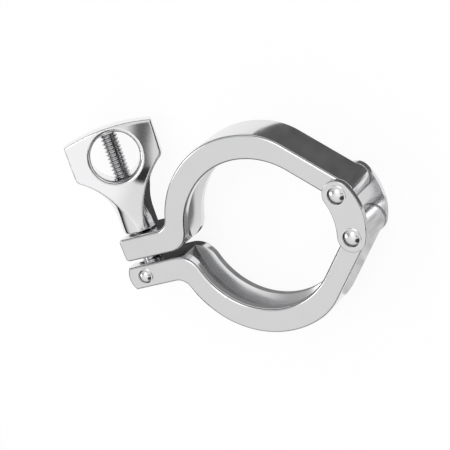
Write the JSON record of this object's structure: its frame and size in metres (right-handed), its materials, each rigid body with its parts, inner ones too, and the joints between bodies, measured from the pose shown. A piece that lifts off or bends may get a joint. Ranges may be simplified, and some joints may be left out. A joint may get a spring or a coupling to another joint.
{
  "type": "sanitary hinged clamp",
  "caption": "Hinged clamp whose grooved half rings turn on riveted links and are drawn shut by a swing bolt with a wing nut, for joining flanged sanitary tubes.",
  "frame": {"origin": "centre of the ring, on the plane where the flanges of a joint meet", "axes": "+Z along the ring's axis, +X from the eye bolt towards the hinge, +Y towards the upper jaw and the wing nut"},
  "size_m": [0.1077, 0.0874, 0.025],
  "materials": {
    "jaw_steel": "polished cast stainless steel",
    "link_steel": "polished stainless steel plate",
    "rivet_steel": "mirror polished rivet heads",
    "bolt_steel": "machined thread",
    "nut_steel": "bright polished stainless steel"
  },
  "bodies": {
    "lower_jaw": {"lower_jaw": "jaw_steel", "bolt_pin": "rivet_steel"},
    "links": {"front_link": "link_steel", "rear_link": "link_steel", "lower_hinge_pin": "rivet_steel", "upper_hinge_pin": "rivet_steel"},
    "upper_jaw": {"upper_jaw": "jaw_steel"},
    "eye_bolt": {"eye_bolt": "bolt_steel"},
    "wing_nut": {"wing_nut": "nut_steel"}
  },
  "joints": [
    {"name": "bolt_swing", "type": "hinge", "parent": "lower_jaw", "child": "eye_bolt", "pos_m": [-0.0498, -0.0055, 0], "axis": [0, 0, 1], "range_deg": [0, 115]},
    {"name": "nut_travel", "type": "slide", "parent": "eye_bolt", "child": "wing_nut", "axis": [0.0332, 0.9995, 0], "range_m": [0, 0.024]},
    {"name": "lower_hinge", "type": "hinge", "parent": "lower_jaw", "child": "links", "pos_m": [0.0358, -0.0079, 0], "axis": [0, 0, -1], "range_deg": [0, 50]},
    {"name": "upper_hinge", "type": "hinge", "parent": "links", "child": "upper_jaw", "pos_m": [0.0358, 0.0079, 0], "axis": [0, 0, -1], "range_deg": [0, 50]}
  ],
  "couplings": [
    {"joint": "lower_hinge", "follows": "nut_travel", "rad_per_m": 5.4},
    {"joint": "upper_hinge", "follows": "nut_travel", "rad_per_m": 5.4}
  ]
}
